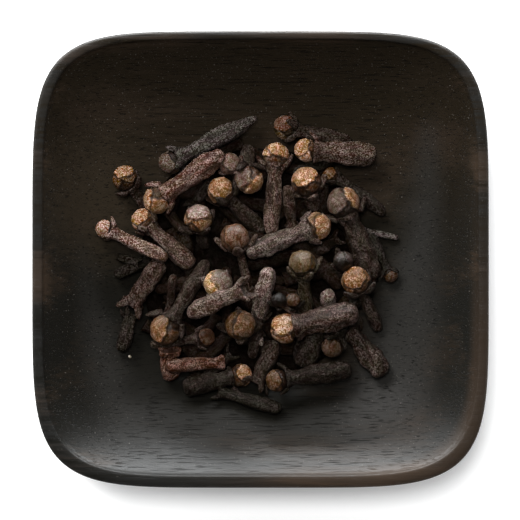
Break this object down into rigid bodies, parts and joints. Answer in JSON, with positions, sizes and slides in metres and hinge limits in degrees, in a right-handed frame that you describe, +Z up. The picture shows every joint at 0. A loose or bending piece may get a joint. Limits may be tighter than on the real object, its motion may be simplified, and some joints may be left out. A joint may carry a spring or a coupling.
{
  "type": "bowl of whole cloves",
  "caption": "Small square dish of dark stained wood with rounded corners, holding a low heap of whole dried cloves.",
  "frame": {"origin": "middle of the dish's flat underside", "axes": "+Z up, +X along one pair of the dish's sides, +Y towards its far side"},
  "size_m": [0.082, 0.082, 0.0208],
  "materials": {
    "dark_wood": "dark stained hardwood with open pores, satin oiled",
    "clove": "dry wrinkled purple-brown stems and tan buds, matt"
  },
  "bodies": {
    "root": {"dish": "dark_wood", "cloves": "clove"}
  },
  "joints": []
}
